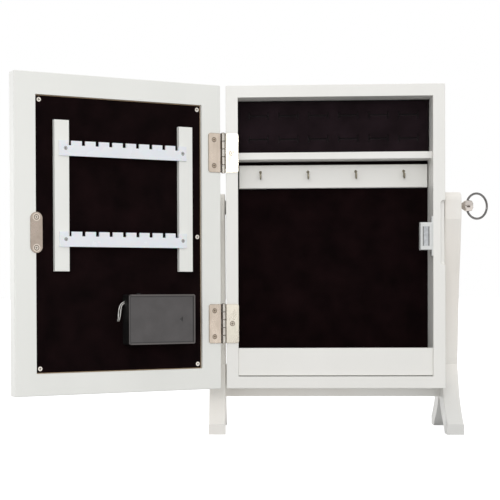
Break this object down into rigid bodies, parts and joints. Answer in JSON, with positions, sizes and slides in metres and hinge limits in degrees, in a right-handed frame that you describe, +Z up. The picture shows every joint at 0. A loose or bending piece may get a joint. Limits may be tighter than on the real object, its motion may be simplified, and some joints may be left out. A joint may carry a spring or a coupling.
{
  "type": "jewelry mirror cabinet",
  "caption": "Table-top white wooden jewelry cabinet with a mirror door, tilting on a two-legged stand between clamp knobs; velvet inside, with hooks, ring cushion, tray and earring bars.",
  "frame": {"origin": "middle of the rectangle on the table that the open cabinet covers, at the soles of the stand", "axes": "+X to the viewer's right along the cabinet's front, +Y away from the viewer, +Z up"},
  "size_m": [0.5855, 0.278, 0.438],
  "materials": {
    "white_paint": "white satin paint on wood",
    "black_velvet": "black flocked velvet",
    "cushion_velvet": "black velvet over foam",
    "backing_board": "raw fibreboard",
    "mirror": "silvered glass",
    "hinge_metal": "satin nickel",
    "screw_steel": "nickel plate",
    "strike_metal": "satin bronze plate",
    "magnet_ferrite": "grey ferrite",
    "white_plastic": "moulded",
    "bar_plastic": "milky",
    "hook_metal": "aged brass plate",
    "knob_chrome": "polished",
    "ring_chrome": "dark polished",
    "nylon": "moulded",
    "insert_brass": "turned",
    "dark_plastic": "semi-gloss dark grey",
    "cell_can": "printed sleeve, plain",
    "contact_nickel": "nickel plate",
    "circuit_board": "coated board",
    "strip_tape": "coated tape",
    "lead_sleeve": "clear sleeve over tinned strands"
  },
  "bodies": {
    "stand": {"stand_side_left": "white_paint", "stand_side_right": "white_paint", "stand_stretcher": "white_paint", "stretcher_screws": "screw_steel", "pivot_bush_left": "nylon", "pivot_bush_right": "nylon"},
    "clamp_knob_left": {"clamp_knob_left": "knob_chrome"},
    "clamp_knob_right": {"clamp_knob_right": "knob_chrome"},
    "knob_ring_left": {"knob_ring_left": "ring_chrome"},
    "knob_ring_right": {"knob_ring_right": "ring_chrome"},
    "battery_lid": {"battery_lid": "dark_plastic"},
    "power_switch": {"power_switch": "dark_plastic"},
    "door": {"door_stile_hinge": "white_paint", "door_stile_latch": "white_paint", "door_rail_top": "white_paint", "door_rail_bottom": "white_paint", "mirror_glass": "mirror", "light_strip": "strip_tape", "light_leads": "lead_sleeve", "door_backing": "backing_board", "door_lining": "black_velvet", "lining_screws": "screw_steel", "earring_slat_hinge_side": "white_paint", "earring_slat_latch_side": "white_paint", "earring_bar_lower": "bar_plastic", "earring_bar_upper": "bar_plastic", "earring_screws": "screw_steel", "strike_plate": "strike_metal", "strike_screws": "screw_steel", "hinge_leaf_door_lower": "hinge_metal", "hinge_leaf_door_upper": "hinge_metal", "hinge_screws_door": "screw_steel", "battery_box": "dark_plastic", "battery_cells": "cell_can", "battery_contacts": "contact_nickel", "light_board": "circuit_board"},
    "cabinet": {"cabinet_side_left": "white_paint", "cabinet_side_right": "white_paint", "cabinet_top": "white_paint", "cabinet_bottom": "white_paint", "back_panel": "white_paint", "shelf": "white_paint", "necklace_rail": "white_paint", "tray_front": "white_paint", "back_lining": "black_velvet", "tray_lining": "black_velvet", "ring_cushion": "cushion_velvet", "hinge_leaf_cabinet_lower": "hinge_metal", "hinge_leaf_cabinet_upper": "hinge_metal", "hinge_pins": "hinge_metal", "back_screws": "screw_steel", "catch_screws": "screw_steel", "hinge_screws_cabinet": "screw_steel", "catch_poles": "screw_steel", "catch_magnet": "magnet_ferrite", "catch_housing": "white_plastic", "necklace_hooks": "hook_metal", "pivot_insert_left": "insert_brass", "pivot_insert_right": "insert_brass"}
  },
  "joints": [
    {"name": "cabinet_tilt", "type": "hinge", "parent": "stand", "child": "cabinet", "pos_m": [0.09509, 0.0342, 0.2875], "axis": [-1, 0, 0], "range_deg": [-1, 20]},
    {"name": "door_hinge", "type": "hinge", "parent": "cabinet", "child": "door", "pos_m": [-0.04482, -0.0023, 0.248], "axis": [0, 0, 1], "range_deg": [-15, 150]},
    {"name": "clamp_knob_left_turn", "type": "hinge", "parent": "cabinet", "child": "clamp_knob_left", "pos_m": [-0.07387, 0.0342, 0.2875], "axis": [-1, 0, 0], "range_deg": [0, 180]},
    {"name": "clamp_knob_right_turn", "type": "hinge", "parent": "cabinet", "child": "clamp_knob_right", "pos_m": [0.26404, 0.0342, 0.2875], "axis": [1, 0, 0], "range_deg": [0, 180]},
    {"name": "knob_ring_left_swing", "type": "hinge", "parent": "clamp_knob_left", "child": "knob_ring_left", "pos_m": [-0.07387, 0.0342, 0.2875], "axis": [0, 0, 1], "range_deg": [-17, 73]},
    {"name": "knob_ring_right_swing", "type": "hinge", "parent": "clamp_knob_right", "child": "knob_ring_right", "pos_m": [0.26404, 0.0342, 0.2875], "axis": [0, 0, 1], "range_deg": [-73, 17]},
    {"name": "battery_lid_slide", "type": "slide", "parent": "door", "child": "battery_lid", "axis": [-0.866, -0.5, 0], "range_m": [0, 0.08]},
    {"name": "power_switch_slide", "type": "slide", "parent": "door", "child": "power_switch", "axis": [0.866, 0.5, 0], "range_m": [0, 0.004]}
  ]
}
